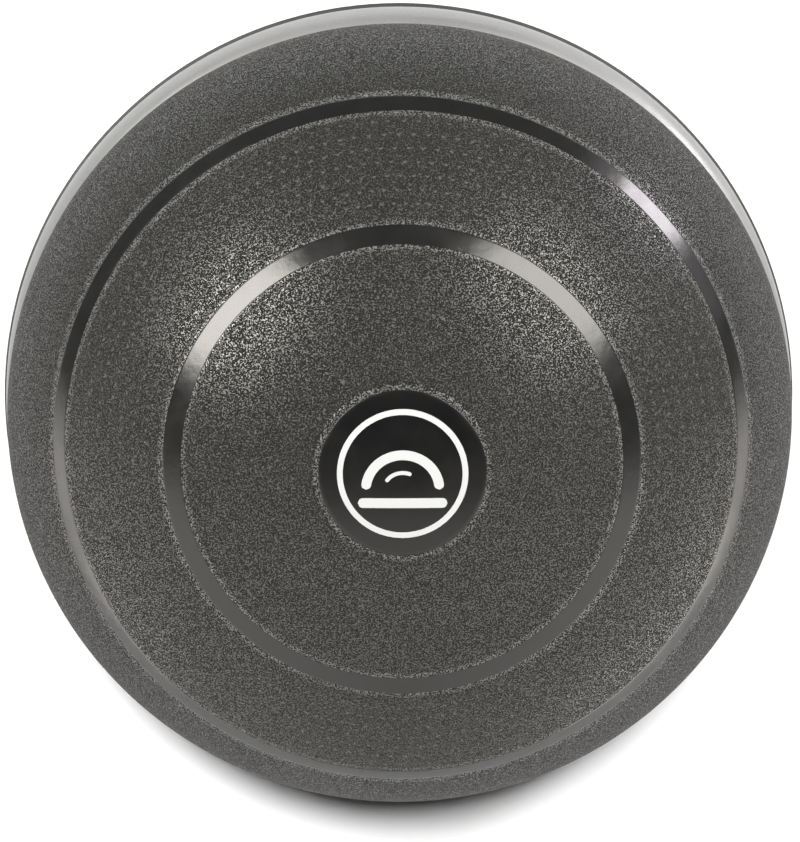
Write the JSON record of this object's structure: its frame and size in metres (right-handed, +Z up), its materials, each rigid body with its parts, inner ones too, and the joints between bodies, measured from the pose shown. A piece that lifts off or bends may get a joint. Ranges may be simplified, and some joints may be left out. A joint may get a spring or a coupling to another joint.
{
  "type": "balance dome trainer",
  "caption": "Air-filled half dome clamped by a silver ring onto a round black platform, for standing on and balance exercises; it also works turned over.",
  "frame": {"origin": "on the dome's axis at floor level, under the rubber feet", "axes": "+Z up along the dome's axis from the floor to the crown; +X and -X through the middles of the two hand grips; +Y to complete a right-handed frame"},
  "size_m": [0.596, 0.596, 0.2872],
  "materials": {
    "dome_pvc": "grained soft PVC with smooth glossy bands",
    "badge_print": "smooth printed disc",
    "ring_silver": "satin silver paint",
    "platform_plastic": "fine moulded grain",
    "screw_steel": "black oxide",
    "foot_rubber": "matt",
    "valve_seat_pvc": "satin",
    "valve_plug_pvc": "satin"
  },
  "bodies": {
    "trainer": {"platform": "platform_plastic", "clamp_ring": "ring_silver", "dome_bladder": "dome_pvc", "valve_seat": "valve_seat_pvc", "ring_screw_01": "screw_steel", "ring_screw_02": "screw_steel", "ring_screw_03": "screw_steel", "ring_screw_04": "screw_steel", "ring_screw_05": "screw_steel", "ring_screw_06": "screw_steel", "ring_screw_07": "screw_steel", "ring_screw_08": "screw_steel", "ring_screw_09": "screw_steel", "ring_screw_10": "screw_steel", "ring_screw_11": "screw_steel", "ring_screw_12": "screw_steel", "foot_pad_1": "foot_rubber", "foot_pad_2": "foot_rubber", "foot_pad_3": "foot_rubber", "foot_pad_4": "foot_rubber", "foot_pad_5": "foot_rubber", "foot_pad_6": "foot_rubber", "foot_pad_7": "foot_rubber", "foot_pad_8": "foot_rubber"},
    "crown": {"crown_badge": "badge_print"},
    "plug": {"valve_plug": "valve_plug_pvc"}
  },
  "joints": [
    {"name": "crown_press", "type": "slide", "parent": "trainer", "child": "crown", "axis": [0, 0, -1], "range_m": [0, 0.06], "stiffness_N_per_m": 12000, "deforming": ["dome_bladder"]},
    {"name": "plug_pull", "type": "slide", "parent": "trainer", "child": "plug", "axis": [0, 0, -1], "range_m": [0, 0.02]}
  ]
}
